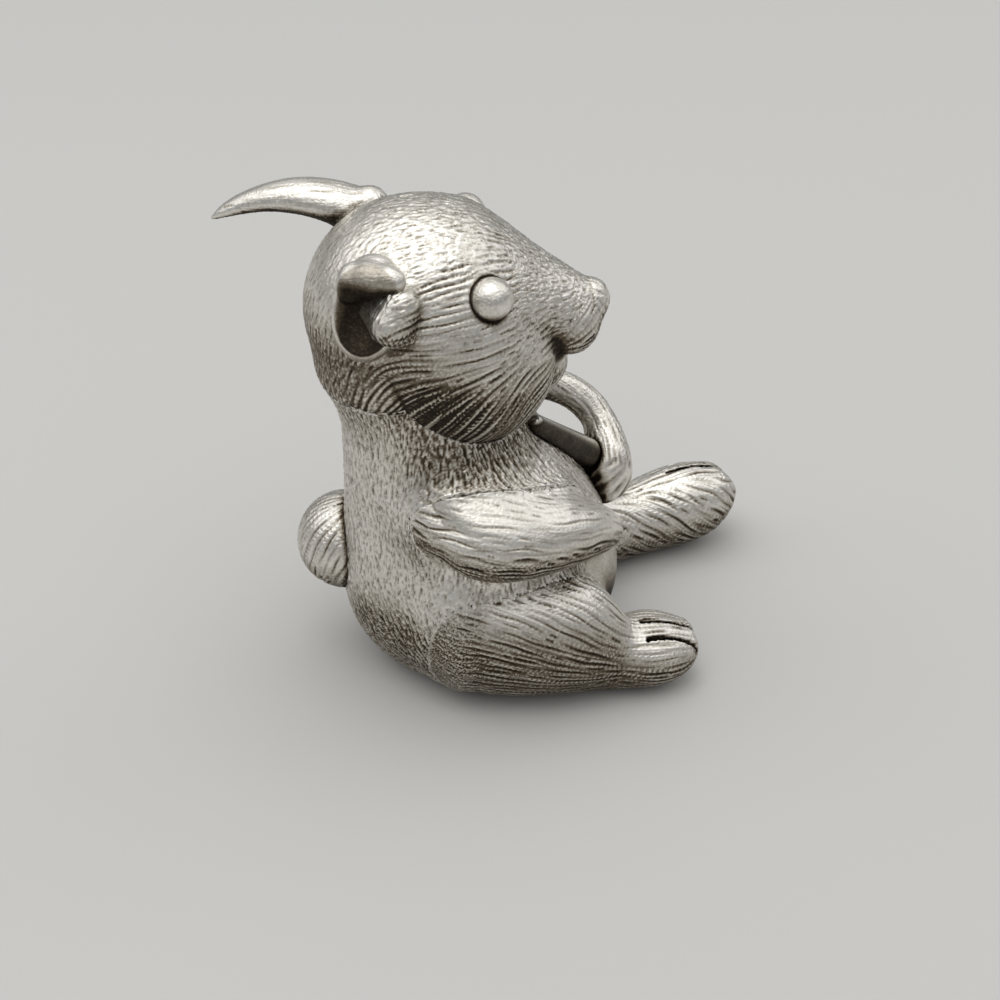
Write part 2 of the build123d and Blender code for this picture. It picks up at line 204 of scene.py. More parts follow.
class Casting:
    """One casting's skin in even quads, in millimetres, taken from a mesh and then carved."""

    def __init__(self, node, mesh, quad):
        self.node = node
        carrier = bpy.data.objects.new(node + "_blank", mesh)
        scene.collection.objects.link(carrier)
        even = carrier.modifiers.new("even quads", "REMESH")
        even.mode = "VOXEL"
        even.voxel_size = quad
        shaped = carrier.evaluated_get(bpy.context.evaluated_depsgraph_get())
        self.mesh = bpy.data.meshes.new_from_object(shaped)
        self.mesh.name = "cast_" + node
        bpy.data.objects.remove(carrier)
        self.read_mesh()
        self.cap_hidden_skin()
        self.read_mesh()
        self.cut = np.zeros(self.count)

    def read_mesh(self):
        self.count = len(self.mesh.vertices)
        points = np.empty(3 * self.count, np.float32)
        self.mesh.vertices.foreach_get("co", points)
        self.points = points.reshape(-1, 3).astype(float)
        edges = np.empty(2 * len(self.mesh.edges), np.int32)
        self.mesh.edges.foreach_get("vertices", edges)
        self.first, self.second = edges.reshape(-1, 2).T
        self.joined = np.bincount(edges, minlength=self.count)

    def cap_hidden_skin(self):
        """Closes off the skin that lies deep inside other castings with plain caps."""
        hidden = np.zeros(self.count)
        for index, (point, normal) in enumerate(zip(self.points, self.normals())):
            way = Vector(normal)
            spot, facing, face, _ = figure_skin.ray_cast(Vector(point) + way * CAP_DEPTH, way)
            hidden[index] = spot is not None and facing.dot(way) > 0 and face_owner[face] != self.node
        for _ in range(CAP_ROUNDS):
            hidden = self.around(hidden)
        shell = bmesh.new()
        shell.from_mesh(self.mesh)
        shell.verts.ensure_lookup_table()
        buried = [shell.verts[index] for index in np.nonzero(hidden > 0.97)[0]]
        bmesh.ops.delete(shell, geom=buried, context="VERTS")
        rims = [edge for edge in shell.edges if edge.is_boundary]
        bmesh.ops.holes_fill(shell, edges=rims, sides=0)
        shell.to_mesh(self.mesh)
        shell.free()

    def around(self, values):
        """The mean of values over the vertices next to each vertex."""
        total = np.bincount(self.first, values[self.second], self.count)
        total += np.bincount(self.second, values[self.first], self.count)
        return total / np.maximum(self.joined, 1)

    def soften(self, rounds):
        """Rounds off the skin without shrinking it much."""
        for share in (0.6, -0.62) * rounds:
            mean = np.stack([self.around(self.points[:, axis]) for axis in range(3)], axis=1)
            self.points += (mean - self.points) * share

    def melt(self, rounds):
        """Runs lumps into each other."""
        for _ in range(rounds):
            self.points = np.stack([self.around(self.points[:, axis]) for axis in range(3)], axis=1)

    def normals(self):
        self.mesh.vertices.foreach_set("co", self.points.astype(np.float32).ravel())
        self.mesh.update()
        normals = np.empty(3 * self.count, np.float32)
        self.mesh.vertex_normals.foreach_get("vector", normals)
        return normals.reshape(-1, 3).astype(float)

    def raise_skin(self, height):
        self.points += self.normals() * np.asarray(height)[:, None]

    def distance_to(self, names, reach):
        """How far each vertex is from the skins of other solids, at most reach."""
        tree, _ = skins_of(names)
        low = np.min([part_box(name)[0] for name in names], axis=0) / MM - reach
        high = np.max([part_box(name)[1] for name in names], axis=0) / MM + reach
        distance = np.full(self.count, float(reach))
        for index in np.nonzero(((self.points > low) & (self.points < high)).all(axis=1))[0]:
            found = tree.find_nearest(self.points[index], reach)
            if found[0] is not None:
                distance[index] = found[3]
        return distance

    def seam_with(self, names):
        """How near each vertex is to the solids that it is soldered to, from 0 to 1."""
        return smooth_step(self.distance_to(names, SEAM_REACH), SEAM_REACH, 0.0)

    def gap_to(self, tree, chosen, reach):
        """How far some vertices are outside a skin, and the way out from there."""
        gap = np.full(len(chosen), float(reach))
        way = np.zeros((len(chosen), 3))
        for rank, index in enumerate(chosen):
            point = Vector(self.points[index])
            spot, normal, _, far = tree.find_nearest(point, 2 * reach)
            if spot is not None:
                gap[rank] = far if (point - spot).dot(normal) > 0 else -far
                way[rank] = normal
        return gap, way

    def flow_into(self, neighbour, reach, where):
        """Fills the crease beside a neighbour with a fillet, which the neighbour's own skin carries on.

        A vertex that seems deeper in the neighbour than FLOW_DEPTH lies above a socket in it, and counts
        as outside.
        """
        where = where * np.ones(self.count)
        chosen = np.nonzero((self.distance_to([neighbour], reach) < reach) & (where > 0.05))[0]
        own_skin, other_skin = open_skin(self.node), open_skin(neighbour)
        chosen = chosen[self.gap_to(own_skin, chosen, reach)[0] > -0.1]
        spread = reach * where[chosen]
        past_seam = -self.gap_to(other_skin, chosen, reach)[0]
        past_seam = np.where(past_seam > FLOW_DEPTH, 0, np.clip(past_seam, 0, None))
        for _ in range(FLOW_ROUNDS):
            own, own_way = self.gap_to(own_skin, chosen, reach)
            other, other_way = self.gap_to(other_skin, chosen, reach)
            other = np.where(other < -FLOW_DEPTH, -other, other)
            overlap = np.clip(spread - np.abs(own - other), 0, None) / spread
            short = np.minimum(own, other) - overlap ** 2 * spread / 4
            short += FLOW_DIP * smooth_step(past_seam, 0.1, 0.5)
            share = np.where(own < other, 1 - overlap / 2, overlap / 2)[:, None]
            way = own_way * share + other_way * (1 - share)
            steep = np.maximum((way ** 2).sum(axis=1), 0.2)
            lift = np.clip(-short / steep, 0, reach / 2)
            lift *= smooth_step(past_seam, FLOW_DEPTH, FLOW_DEPTH / 2)
            self.points[chosen] += way * lift[:, None]

    def settle(self):
        """Keeps the finished shape's outward directions, and a search tree, for the fur."""
        self.outward = self.normals()
        self.skin = kdtree.KDTree(self.count)
        for index, point in enumerate(self.points):
            self.skin.insert(point, index)
        self.skin.balance()

    def lay(self, way):
        """The way that hairs run, laid flat on the skin."""
        return unit(way - self.outward * (way * self.outward).sum(axis=1)[:, None])

    def streak(self, way, doublings, depth, seed, where=1.0):
        """Cuts fine uneven streaks along way. Each doubling makes them twice as long."""
        way = self.lay(way)
        grain = np.random.default_rng(seed).normal(size=self.count)
        for rank in range(doublings):
            if rank < 3:
                ahead = self.points + way * (HAIR_STEP * 2 ** rank)
                hop = np.array([self.skin.find(spot)[1] for spot in ahead])
            else:
                hop = hop[hop]
            grain = grain + grain[hop]
        broad = grain
        for _ in range(10):
            broad = self.around(broad)
        grain = np.clip((grain - broad) / (grain - broad).std(), -2, 2)
        self.points -= self.outward * (depth * where * grain)[:, None]

    def comb(self, way, spacing, length, depth, width, seed, where=1.0, wave=0.0):
        """Cuts single hairs along way, each about the spacing clear of those cut before it."""
        draw = random.Random(seed)
        laid = self.lay(way)
        across = [Vector(one) for one in np.cross(self.outward, laid)]
        way = [Vector(one) for one in laid]
        outward = [Vector(one) for one in self.outward]
        share = where * np.ones(self.count)
        closed = share <= 0
        cut = np.zeros(self.count)
        starts = [index for index in range(self.count) if not closed[index]]
        draw.shuffle(starts)
        for start in starts[: len(starts) // 3]:
            if closed[start] or draw.random() > share[start]:
                continue
            steps = int(length * draw.uniform(0.2, 0.8) / HAIR_STEP)
            phase = draw.uniform(0, tau)
            keen = draw.uniform(0.35, 1.0)
            clear = spacing * draw.uniform(0.7, 1.25)
            path = []
            for sense in (1, -1):
                spot, at = Vector(self.points[start]), start
                for step in range(steps):
                    swing = wave * sin(phase + sense * step * HAIR_STEP * HAIR_WAVE)
                    spot = spot + (way[at] + across[at] * swing) * (sense * HAIR_STEP)
                    near, at, _ = self.skin.find(spot)
                    if closed[at]:
                        break
                    spot = spot - outward[at] * (spot - near).dot(outward[at])
                    path.append((sense * step, spot))
            if len(path) < 4:
                continue
            path.sort(key=lambda item: item[0])
            for rank, (_, spot) in enumerate(path):
                taper = keen * sin(pi * (rank + 0.5) / len(path)) ** 0.6
                for _, index, gap in self.skin.find_range(spot, clear):
                    closed[index] = True
                    if gap < width:
                        cut[index] = max(cut[index], taper * (1 - gap / width) ** 1.3)
        self.points -= self.outward * (cut * depth)[:, None]
        self.cut = np.maximum(self.cut, cut)

    def shut_in(self, seed):
        """How much of the sky above each vertex the figure itself hides, from 0 to 1."""
        draw = random.Random(seed)
        chosen = draw.sample(range(self.count), min(self.count, SHADE_SPOTS))
        spots = kdtree.KDTree(len(chosen))
        hidden = []
        for rank, index in enumerate(chosen):
            spots.insert(self.points[index], rank)
            normal = Vector(self.outward[index])
            origin = Vector(self.points[index]) + normal * 0.15
            met = 0.0
            for _ in range(SHADE_RAYS):
                ray = normal + Vector(draw.gauss(0, 1) for _ in range(3)).normalized() * 0.98
                hit = figure_skin.ray_cast(origin, ray.normalized(), SHADE_REACH)
                if hit[0] is not None and face_owner[hit[2]] != "right_ear":
                    met += 1 - hit[3] / SHADE_REACH
            hidden.append(met / SHADE_RAYS)
        spots.balance()
        shade = np.empty(self.count)
        for index, point in enumerate(self.points):
            found = spots.find_n(point, 4)
            shade[index] = sum(hidden[rank] for _, rank, _ in found) / len(found)
        for _ in range(6):
            shade = self.around(shade)
        return shade

    def hollows(self, rounds):
        """How far each vertex lies below the skin around it, in millimetres."""
        mean = self.points.copy()
        for _ in range(rounds):
            mean = np.stack([self.around(mean[:, axis]) for axis in range(3)], axis=1)
        return ((mean - self.points) * self.outward).sum(axis=1)

    def tarnish_and_shade(self, seed, painted_shade=0.0, extra=0.0, in_cuts=0.55, underside=(0.1, -0.7)):
        """Dark tone per vertex: patina in cuts and hollows, and painted shade on undersides, in shut-in
        places and in the shade each casting passes in.

        The underside is how far up the skin faces where its painted shade starts, and where it is darkest.
        """
        relief = self.hollows(rounds=8)
        # Painted shade on downward-facing skin and in places the figure shuts in.
        ground = OPEN_TARNISH + UNDERSIDE_SHADE * smooth_step(self.outward[:, 2], *underside)
        ground += SHUT_IN_SHADE * smooth_step(self.shut_in(seed), 0.08, 0.45) + extra
        rubbed = smooth_step(relief, 0.0, -0.03)
        dark = ground * (1 - 0.8 * rubbed)
        dark += in_cuts * self.cut + HOLLOW_TARNISH * smooth_step(relief, 0.005, 0.05)
        return np.clip(dark + painted_shade, 0, 1)

    def place(self, tarnish_and_shade, slot="pewter", material=pewter):
        """Puts the finished casting in the scene in place of its solid."""
        self.points[:, 2] = np.maximum(self.points[:, 2], 0)
        self.mesh.vertices.foreach_set("co", (self.points * MM).astype(np.float32).ravel())
        tarnish_and_shade_attribute = self.mesh.attributes.new("tarnish_and_shade", "FLOAT", "POINT")
        tarnish_and_shade_attribute.data.foreach_set("value", tarnish_and_shade.astype(np.float32))
        self.mesh.materials.clear()
        self.mesh.materials.append(material)
        self.mesh.shade_smooth()
        self.mesh.update()
        piece = bpy.data.objects.new("cast_" + self.node, self.mesh)
        scene.collection.objects.link(piece)
        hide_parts(self.node)
        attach(piece, "root")


def from_solid(node, quad):
    """A casting with the shape of its solid."""
    shell = bmesh.new()
    shell.from_mesh(frame["nodes"][node].data)
    bmesh.ops.scale(shell, vec=(1 / MM,) * 3, verts=shell.verts)
    bmesh.ops.remove_doubles(shell, verts=shell.verts, dist=0.001)
    mesh = bpy.data.meshes.new(node)
    shell.to_mesh(mesh)
    shell.free()
    return Casting(node, mesh, quad)


ARM_SLOPE = 0.35


def arm_side(points):
    """How far points lie on the upper or rear side of the right arm, from 0 to 1."""
    above = smooth_step(points[:, 2] + ARM_SLOPE * points[:, 0], 12.3, 14.2)
    above *= 1 - 0.7 * smooth_step(points[:, 0], 4.0, 6.5)
    return np.maximum(above, smooth_step(points[:, 0], -2.2, -4.0))


def leg_rear(points):
    """How far points lie on the rear of the thighs, from 0 to 1."""
    return smooth_step(points[:, 0], -0.3, -2.4)


def leg_flow(points):
    """How far the fillet beside a thigh spreads: least along its front, and in full at its rear."""
    return 0.25 + 0.75 * leg_rear(points)


def neck_rear(points):
    """How far points lie behind the cheeks, from 0 to 1."""
    return smooth_step(points[:, 0], -3.5, -6.5)


ANKLE = np.array((7.6, -5.3, 2.6))
FRINGE_HEIGHT = 8.6
ARM_FLOW = 3.5
LEG_FLOW = 3.0
NECK_FLOW = 3.0
torso = from_solid("torso", quad=0.106)
torso.soften(3)
torso.flow_into("right_arm", ARM_FLOW, arm_side(torso.points))
torso.flow_into("right_leg", LEG_FLOW, leg_flow(torso.points))
torso.flow_into("left_leg", LEG_FLOW, leg_flow(torso.points))
torso.flow_into("head", NECK_FLOW, neck_rear(torso.points))
torso.soften(6)
torso.settle()
x, y, z = torso.points.T
haunch = smooth_step(z, 9.0, 4.0) * smooth_step(y, 0.0, -3.0)
downward = np.array((0.12, 0, -1.0)) * np.ones((torso.count, 1))
torso_way = downward + unit(ANKLE - torso.points) * (1.6 * haunch)[:, None]
chest = smooth_step(x, -2.0, 2.0) * smooth_step(z, 12.5, 14.0)
belly = smooth_step(x, 4.5, 6.5) * smooth_step(z, 10.0, 9.0)
fringe = smooth_step(np.abs(z - FRINGE_HEIGHT), 1.0, 0.5) * smooth_step(x, -2.0, 0.0)
fringe *= smooth_step(x, 5.5, 4.5)
furry = (z > 0.3) * (1 - belly)
torso.streak(torso_way, doublings=2, depth=0.03, seed=10, where=furry)
torso.comb(torso_way, spacing=0.34, length=1.2, depth=0.07, width=0.12, seed=14, where=fringe)
long_fur = chest * furry * smooth_step(torso.distance_to(["right_arm"], 2.5), 0.3, 2.0)
short_fur = 0.5 * (1 - chest) * (1 - fringe) * furry
torso.comb(torso_way, spacing=0.36, length=2.6, depth=0.09, width=0.14, seed=11, where=long_fur, wave=0.1)
torso.comb(torso_way, spacing=0.4, length=0.9, depth=0.035, width=0.13, seed=12, where=short_fur, wave=0.2)
# Painted shade: the crease below the right arm, the neck under the head, the belly and the lower flank of
# the haunch are darkened.
torso_crease_shade = 0.8 * torso.seam_with(["right_arm"]) * (1 - arm_side(torso.points))
shadows = 0.55 * smooth_step(z, 14.5, 17.5) * smooth_step(x, -6.5, -3.5) + 0.2 * belly
low_side = (0.1 + 0.5 * haunch, -0.7 + 0.65 * haunch)
torso.place(torso.tarnish_and_shade(seed=13, painted_shade=torso_crease_shade, extra=shadows, in_cuts=0.38, underside=low_side))

# Head: one pewter casting with full cheeks, a tapering snout, a small nose and a split upper lip.
# Long hairs run back from the muzzle over the cheeks, and short ones cover the crown and the snout.
# It sits over a peg on the neck and is soldered round it.
SKULL = np.array((-3.7, 0.0, 24.6))
SKULL_RADIUS = 6.2
SNOUT_ROOT = SKULL + (3.0, 0, -0.6)
SNOUT_TIP = SKULL + (10.1, 0, -0.6)
SNOUT_ROOT_RADIUS = 5.8
SNOUT_TIP_RADIUS = 1.2
SNOUT_BEND = 0.15
SNOUT_LUMPS = 7
NOSE_TIP = SKULL + (10.7, 0, -0.3)
CHEEK = np.array((2.8, 1.4, -2.8))
CHEEK_RADIUS = 5.1
LIP = np.array((8.75, 0.95, -1.5))
LIP_RADIUS = 1.8
NOSE = NOSE_TIP + (-0.5, 0, 0.2)
NOSE_RADIUS = 0.65
CHIN = np.array((7.0, 0.0, -4.3))
CHIN_RADIUS = 1.9
EYE_RADIUS = 1.2
EYE_STAND_OUT = 0.6
EYE_BEARING = radians(53.0)
EYE_RISE = radians(24.5)
NOSTRIL = np.array((-0.2, 0.35, -0.35))
NOSTRIL_RADIUS = 0.32
RING_DEPTH = 0.14
RING_WIDTH = 0.15
NOSTRIL_DEPTH = 0.2
MOUTH_DEPTH = 0.12
MOUTH_CORNER = np.array((6.6, 2.6, -2.6))
# A painted shadow on the lower cheek toward the neck: its middle, from the skull, and its radius.
CHEEK_SHADOW_MIDDLE = np.array((0.9, -5.3, -4.0))
CHEEK_SHADOW_RADIUS = 1.5
DOWN = np.array((0.0, 0.0, -1.0))
TUFTS = (((-1.9, -5.9, 2.15), 1.15), ((-1.3, -5.65, 3.3), 0.95))
SIDES = (1, -1)


def mirrored(place, side):
    """A place on the head, measured from the skull for its left side, on either side."""
    return SKULL + place * (1, side, 1)


def eye_middle(side):
    level = cos(EYE_RISE)
    outward = np.array((level * cos(EYE_BEARING), level * sin(EYE_BEARING), sin(EYE_RISE)))
    return mirrored(outward * (SKULL_RADIUS + EYE_STAND_OUT), side)


def joined(first, second, reach):
    """Two distances joined with a fillet."""
    overlap = np.clip(reach - np.abs(first - second), 0, None) / reach
    return np.minimum(first, second) - overlap ** 2 * reach / 4


def ball(points, middle, radius):
    return np.linalg.norm(points - middle, axis=1) - radius


def snout_radius(share):
    """The snout leaves the skull level and then tapers to its tip."""
    taper = (np.hypot(share, SNOUT_BEND) - SNOUT_BEND) / (np.hypot(1.0, SNOUT_BEND) - SNOUT_BEND)
    return SNOUT_ROOT_RADIUS - (SNOUT_ROOT_RADIUS - SNOUT_TIP_RADIUS) * taper


def head_shape(points):
    """Distance outside the head's skin, with every bulge run into the next."""
    length = SNOUT_TIP - SNOUT_ROOT
    along = np.clip(((points - SNOUT_ROOT) @ length) / (length @ length), 0, 1)
    snout = np.linalg.norm(points - SNOUT_ROOT - along[:, None] * length, axis=1) - snout_radius(along)
    shape = joined(ball(points, SKULL, SKULL_RADIUS), snout, reach=2.0)
    for side in SIDES:
        shape = joined(shape, ball(points, mirrored(LIP, side), LIP_RADIUS), reach=0.9)
    shape = joined(shape, ball(points, NOSE, NOSE_RADIUS), reach=0.5)
    shape = joined(shape, ball(points, SKULL + CHIN, CHIN_RADIUS), reach=0.3)
    for tuft, radius in TUFTS:
        shape = joined(shape, ball(points, SKULL + tuft, radius), reach=0.8)
    cheek_fillet = 1.8 - 1.5 * smooth_step(points[:, 0] - SKULL[0], 3.5, 6.5)
    for side in SIDES:
        shape = joined(shape, ball(points, mirrored(CHEEK, side), CHEEK_RADIUS), reach=cheek_fillet)
    return shape


def lump_mesh(name, lumps, place=Matrix.Identity(4)):
    """A mesh of egg shapes, each given by its middle and half sizes."""
    shell = bmesh.new()
    for middle, half in lumps:
        made = bmesh.ops.create_icosphere(shell, subdivisions=5, radius=1.0)
        bmesh.ops.scale(shell, vec=half, verts=made["verts"])
        bmesh.ops.translate(shell, vec=middle, verts=made["verts"])
    bmesh.ops.transform(shell, matrix=place, verts=shell.verts)
    mesh = bpy.data.meshes.new(name)
    shell.to_mesh(mesh)
    shell.free()
    return mesh


head_lumps = [(SKULL, (SKULL_RADIUS,) * 3), (SKULL + CHIN, (CHIN_RADIUS,) * 3)]
head_lumps += [(SKULL + tuft, (radius,) * 3) for tuft, radius in TUFTS]
for side in SIDES:
    head_lumps.append((mirrored(CHEEK, side), (CHEEK_RADIUS,) * 3))
    head_lumps.append((mirrored(LIP, side), (LIP_RADIUS,) * 3))
for share in np.linspace(0, 1, SNOUT_LUMPS):
    head_lumps.append((SNOUT_ROOT + share * (SNOUT_TIP - SNOUT_ROOT), (snout_radius(share),) * 3))
head = Casting("head", lump_mesh("head", head_lumps), quad=0.094)
NUDGE = 0.01
FIT_ROUNDS = 6
for _ in range(FIT_ROUNDS):
    away_from = head_shape(head.points)
    slope = np.empty_like(head.points)
    for axis in range(3):
        nudge = np.zeros(3)
        nudge[axis] = NUDGE
        slope[:, axis] = (head_shape(head.points + nudge) - away_from) / NUDGE
    head.points -= unit(slope) * away_from[:, None]
head.soften(2)
head.flow_into("torso", NECK_FLOW, neck_rear(head.points))
head.soften(2)
x, y, z = (head.points - SKULL).T
eye_ring = np.zeros(head.count)
eye_shade = np.zeros(head.count)
nostrils = np.zeros(head.count)
mouth = np.zeros(head.count)
for side in SIDES:
    eye = eye_middle(side)
    gap = ball(head.points, eye, EYE_RADIUS)
    eye_ring = np.maximum(eye_ring, np.clip(1 - np.abs(gap - 0.03) / RING_WIDTH, 0, 1))
    below = smooth_step(eye[2] - head.points[:, 2], 0.1, 0.9)
    eye_shade = np.maximum(eye_shade, smooth_step(gap, 0.45, 0.05) * below)
    pit = ball(head.points, NOSE_TIP + NOSTRIL * (1, side, 1), NOSTRIL_RADIUS)
    nostrils = np.maximum(nostrils, smooth_step(pit, 0.15, -0.15))
    cheek_gap = ball(head.points, mirrored(CHEEK, side), CHEEK_RADIUS)
    lip_gap = ball(head.points, mirrored(LIP, side), LIP_RADIUS)
    mouth = np.maximum(mouth, smooth_step(np.abs(cheek_gap) + np.abs(lip_gap), 0.6, 0.1))
head.raise_skin(-RING_DEPTH * eye_ring - NOSTRIL_DEPTH * nostrils - MOUTH_DEPTH * mouth)
head.settle()
lips = np.zeros(head.count)
fan = np.zeros_like(head.points)
for side in SIDES:
    lip_gap = ball(head.points, mirrored(LIP, side), LIP_RADIUS)
    on_lip = smooth_step(lip_gap, 0.25, 0.1) * (side * y > 0)
    lips += on_lip
    fan += (head.points - mirrored(MOUTH_CORNER, side)) * on_lip[:, None]
source_height = -2.2 + 0.75 * np.clip(z + 2.2, 0, None)
source = SKULL + np.stack([np.full(head.count, 9.5), np.zeros(head.count), source_height], axis=1)
behind = smooth_step(x, -0.5, -5.0)
lowest = smooth_step(z, 0.5, -5.0) * smooth_step(x, 7.0, 5.0)
sinking = np.stack([np.zeros(head.count), -0.6 * np.sign(y), -np.ones(head.count)], axis=1)
cheek_way = unit(head.points - source) + sinking * (1.1 * lowest)[:, None]
cheek_way += DOWN * (1.3 * behind)[:, None]
head_way = np.where(lips[:, None] > 0.5, unit(fan), cheek_way)
snout_top = smooth_step(x, 3.5, 5.5) * smooth_step(z, -1.6, -0.8)
crown = np.maximum(smooth_step(z - 0.25 * x, 2.2, 4.2), snout_top)
crown = np.maximum(crown, smooth_step(x, -2.5, -4.5)) * (1 - lips)
furry = (np.maximum(eye_ring, nostrils) < 0.1) * 1.0
long_fur = furry * (1 - crown)
short_fur = 0.6 * furry * crown
head.streak(head_way, doublings=6, depth=0.02, seed=20, where=long_fur)
head.streak(head_way, doublings=2, depth=0.024, seed=24, where=furry * crown * (1 - 0.5 * behind))
head.comb(head_way, spacing=0.3, length=7.0, depth=0.09, width=0.15, seed=21, where=long_fur, wave=0.07)
head.comb(head_way, spacing=0.3, length=0.8, depth=0.04, width=0.12, seed=22, where=short_fur, wave=0.3)
# Painted shade in the eye rings, below the eyes, in the nostrils and at the mouth corners, and a painted
# shadow on the lower cheek.
head_pit_shade = 0.8 * np.maximum.reduce([eye_ring, eye_shade, nostrils, mouth])
cheek_shadow = 0.6 * smooth_step(ball(head.points, SKULL + CHEEK_SHADOW_MIDDLE, CHEEK_SHADOW_RADIUS), 2.0, 0.0)
head.place(head.tarnish_and_shade(seed=23, painted_shade=head_pit_shade, extra=cheek_shadow, underside=(0.4, -0.2)))

# Eyes: two round pewter beads, each on a stem pressed into a socket in the head.
# They are lightly stippled, and painted shade darkens the lower part of each bead.
for side, node in ((1, "left_eye"), (-1, "right_eye")):
    bead = from_solid(node, quad=0.05)
    bead.soften(2)
    stipple = np.random.default_rng(25).normal(size=bead.count)
    bead.raise_skin(0.012 * bead.around(stipple))
    # Painted shade on the lower part of the bead.
    low = smooth_step((bead.points - eye_middle(side))[:, 2], -0.3, -1.0)
    bead.place(OPEN_TARNISH + 0.75 * low)

# Right ear: a short pewter cup, cast by itself and soldered to the side of the head.
# Its upper edge folds over in a thick bright flap above its dark hollow.
# A tuft of the head's hair stands in front of the hollow.
EAR_BEARING = radians(-123.0)
EAR_RISE = radians(27.5)
ear_out = Vector((cos(EAR_RISE) * cos(EAR_BEARING), cos(EAR_RISE) * sin(EAR_BEARING), sin(EAR_RISE)))
ear_forward = Vector((0, 0, 1)).cross(ear_out).normalized()
ear_up = ear_out.cross(ear_forward)
ear_axes = Matrix((ear_forward, ear_up, ear_out)).transposed().to_4x4()
ear_axes.translation = Vector(SKULL) + ear_out * SKULL_RADIUS
DOME = ((0.1, -0.15, 0), (2.1, 3.0, 1.5))
HOLLOW = ((0.45, -0.4, 1.7), (2.0, 2.7, 1.75))
FLAPS = [
    ((-0.8, 1.05, 0.7), (0.95, 1.2, 0.85)),
    ((0.1, 1.4, 0.75), (1.2, 1.05, 0.85)),
    ((1.05, 1.6, 0.6), (1.15, 0.85, 0.85)),
]
shell = bpy.data.objects.new("ear_shell", lump_mesh("ear_shell", [DOME], ear_axes))
scoop = bpy.data.objects.new("ear_scoop", lump_mesh("ear_scoop", [HOLLOW], ear_axes))
for spare in (shell, scoop):
    scene.collection.objects.link(spare)
hollowed = shell.modifiers.new("hollow", "BOOLEAN")
hollowed.operation = "DIFFERENCE"
hollowed.object = scoop
whole_ear = bmesh.new()
whole_ear.from_object(shell, bpy.context.evaluated_depsgraph_get())
whole_ear.from_mesh(lump_mesh("ear_lumps", FLAPS, ear_axes))
ear_mesh = bpy.data.meshes.new("right_ear")
whole_ear.to_mesh(ear_mesh)
whole_ear.free()
for spare in (shell, scoop):
    bpy.data.objects.remove(spare)
ear = Casting("right_ear", ear_mesh, quad=0.055)
ear.melt(rounds=18)
ear.settle()
ear_turn = np.array(ear_axes.to_3x3())
local = (ear.points - np.array(ear_axes.translation)) @ ear_turn
across, upward, _ = local.T
depth = smooth_step(np.linalg.norm((local - HOLLOW[0]) / HOLLOW[1], axis=1), 1.1, 1.0)
inside = depth * smooth_step(across, -1.7, -0.7) * smooth_step(upward, 1.4, 0.4)
ear_way = ear_turn @ np.array((-1, -0.2, 0)) * np.ones((ear.count, 1))
ear.streak(ear_way, doublings=2, depth=0.008, seed=30)
# Painted shade inside the hollow under the flap.
ear.place(ear.tarnish_and_shade(seed=32, painted_shade=0.8 * inside + 0.3 * depth))

# Left ear: a long pewter horn, arched and swept back, hollow underneath.
# It is cast by itself, nearly smooth on top, and soldered into the side of the crown.
# A small step stands at its root.
STEP = np.array((-5.2, 3.8, 29.7))
STEP_RADIUS = 0.5
STEP_HEIGHT = 0.6
horn = from_solid("left_ear", quad=0.06)
horn.soften(4)
horn.raise_skin(STEP_HEIGHT * smooth_step(ball(horn.points, STEP, STEP_RADIUS), 1.0, -0.2))
horn.settle()
horn_way = np.array((-1.0, 0.2, 0.0)) * np.ones((horn.count, 1))
horn.streak(horn_way, doublings=4, depth=0.01, seed=40)
horn.comb(horn_way, spacing=0.6, length=1.4, depth=0.02, width=0.14, seed=41, where=0.4)
# Painted shade on the underside of the horn.
underneath = smooth_step(horn.outward[:, 2], -0.1, -0.7)
horn.place(horn.tarnish_and_shade(seed=42, painted_shade=0.5 * underneath))

# Arms: two pewter castings, each on a peg in the chest and soldered along its inner side.
# The right arm lies along the belly, with hairs from shoulder to paw and a pit in the paw.
# The left arm is bent before the chest, with its fingers round the stick.
RIGHT_ARM_LINE = (
    (-4.5, -5.5, 13.2),
    (-1.8, -6.4, 12.9),
    (2.6, -6.5, 12.1),
    (6.4, -4.1, 10.7),
    (7.9, -2.7, 9.2),
)
LEFT_ARM_LINE = (
    (-0.2, 3.7, 15.4),
    (4.6, 5.6, 15.4),
    (7.8, 4.9, 13.5),
    (8.3, 3.7, 12.4),
    (8.3, 1.9, 10.3),
)
FIST = np.array((8.25, 1.9, 10.3))
FIST_RADIUS = 1.8
FINGER_WAY = np.array((0.8, 0.1, 0.6))
PAW_PIT = np.array((7.6, -3.1, 9.5))
PAW_PIT_RADIUS = 0.3
PAW_PIT_DEPTH = 0.25


def along_line(points, line):
    """The way that a line through these places runs, beside each point."""
    line = np.array(line)
    middles = (line[1:] + line[:-1]) / 2
    ways = unit(line[1:] - line[:-1])
    closeness = np.exp(-((points[:, None, :] - middles) ** 2).sum(axis=2) / 4.0) + 1e-9
    return unit((closeness[:, :, None] * ways).sum(axis=1))


